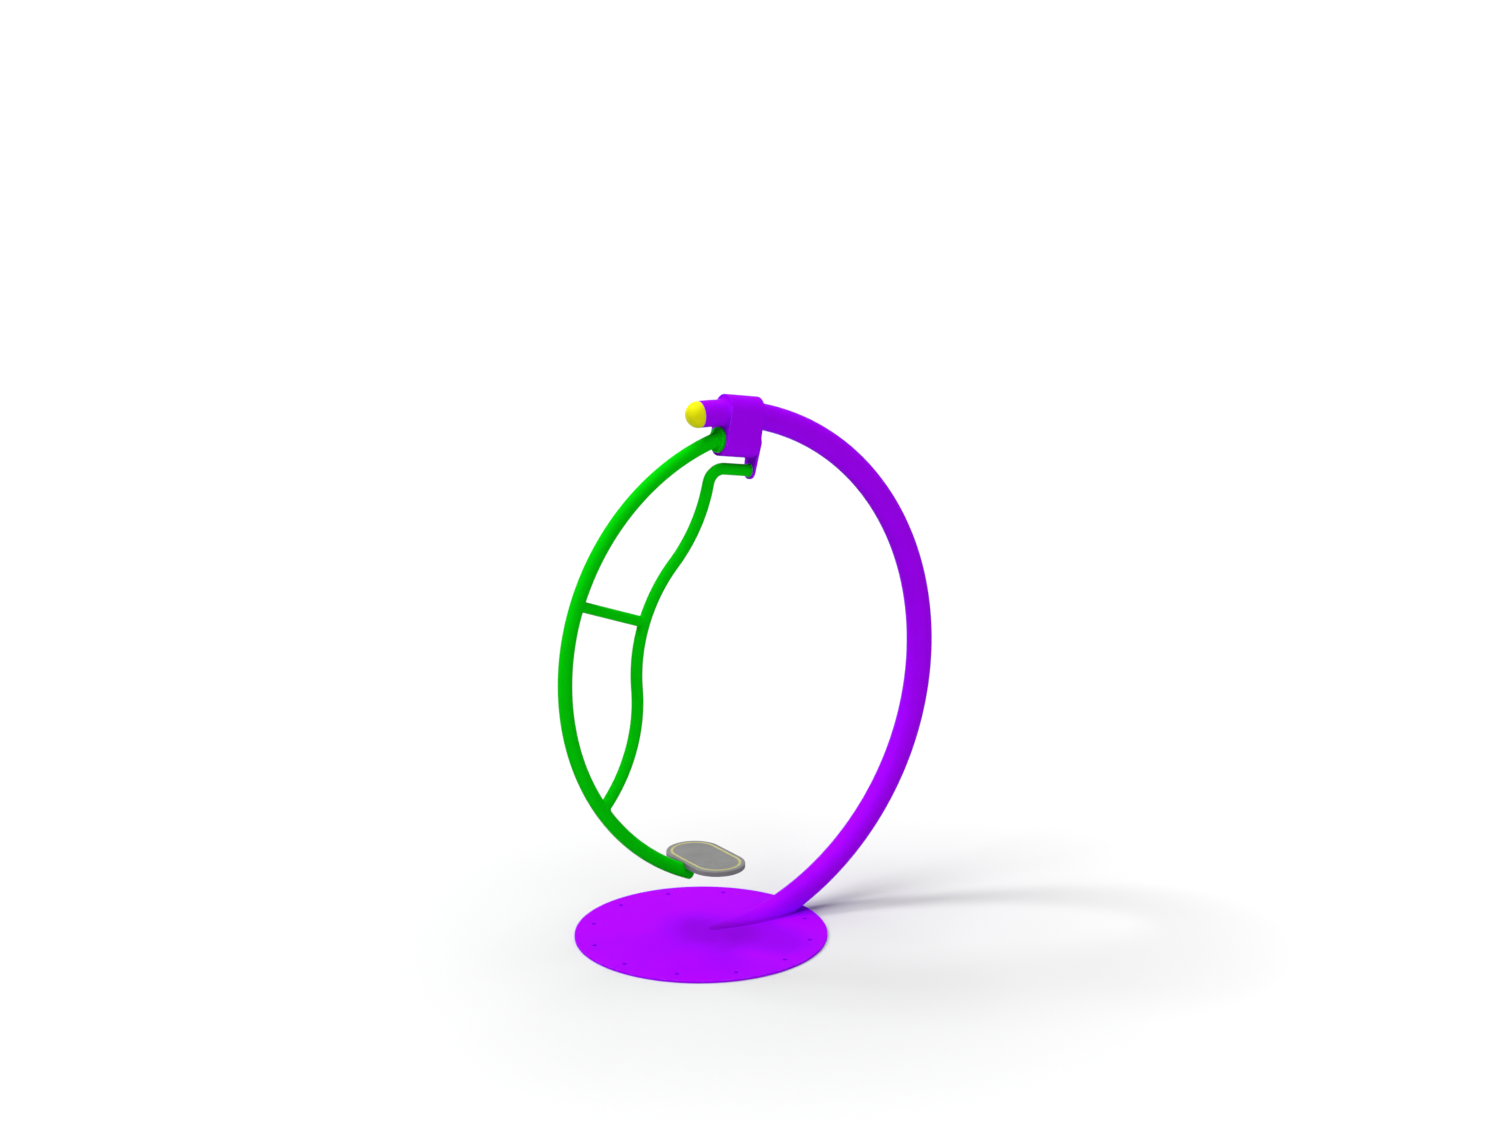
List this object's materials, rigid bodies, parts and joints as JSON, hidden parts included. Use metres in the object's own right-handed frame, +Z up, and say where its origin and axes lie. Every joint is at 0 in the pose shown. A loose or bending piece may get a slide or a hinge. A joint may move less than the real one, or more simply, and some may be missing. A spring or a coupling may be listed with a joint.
{
  "type": "stand-on playground pendulum",
  "caption": "Hooked tube post on a round base plate with a bearing head, from which a curved tube frame with grips and a footboard swings from side to side.",
  "frame": {"origin": "centre of the base plate's underside, on the ground", "axes": "+Z up; the post and the frame lie in the XZ plane, the post's bend towards +X; the footboard's long axis is Y"},
  "size_m": [1.5937, 0.9144, 1.974],
  "materials": {
    "purple_paint": "gloss powder coat",
    "green_paint": "gloss powder coat",
    "yellow_cap": "moulded",
    "grey_board": "grained sheet with a routed yellow line",
    "bearing_steel": "ground",
    "zinc": "zinc plated",
    "cage_brass": "machined",
    "black_rubber": "matt"
  },
  "bodies": {
    "stand": {"base_plate": "purple_paint", "post": "purple_paint", "post_cap": "yellow_cap", "head_wrapper": "purple_paint", "head_end_plate_left": "purple_paint", "head_end_plate_right": "purple_paint", "bearing_sleeve": "bearing_steel", "bearing_outer_ring_left": "bearing_steel", "bearing_outer_ring_right": "bearing_steel", "snap_ring_left": "bearing_steel", "snap_ring_right": "bearing_steel", "lip_seal_left": "black_rubber", "lip_seal_right": "black_rubber"},
    "swing_frame": {"pivot_shaft": "bearing_steel", "bearing_inner_ring_left": "bearing_steel", "bearing_inner_ring_right": "bearing_steel", "distance_ring_left": "zinc", "distance_ring_right": "zinc", "bearing_spacer": "zinc", "stop_pin": "bearing_steel", "hub_flange": "green_paint", "swing_plate": "purple_paint", "shaft_washer": "zinc", "shaft_nut": "zinc", "grip_plug": "zinc", "grip_washer": "zinc", "grip_bolt": "zinc", "hanger_tube": "green_paint", "grip_tube": "green_paint", "cross_brace": "green_paint", "hanger_end_plug": "black_rubber", "footboard_mount": "green_paint", "footboard": "grey_board", "footboard_bolt_1": "zinc", "footboard_bolt_2": "zinc", "footboard_bolt_3": "zinc", "footboard_bolt_4": "zinc"},
    "ball_cages": {"ball_cage_left": "cage_brass", "ball_cage_right": "cage_brass"}
  },
  "joints": [
    {"name": "swing", "type": "hinge", "parent": "stand", "child": "swing_frame", "pos_m": [0.15194, 0, 1.80226], "axis": [0.9848, 0, -0.1736], "range_deg": [-35, 35]},
    {"name": "cage_roll", "type": "hinge", "parent": "stand", "child": "ball_cages", "pos_m": [0.15194, 0, 1.80226], "axis": [0.9848, 0, -0.1736], "range_deg": [-15, 15]}
  ],
  "couplings": [
    {"joint": "cage_roll", "follows": "swing", "ratio": 0.4254}
  ]
}
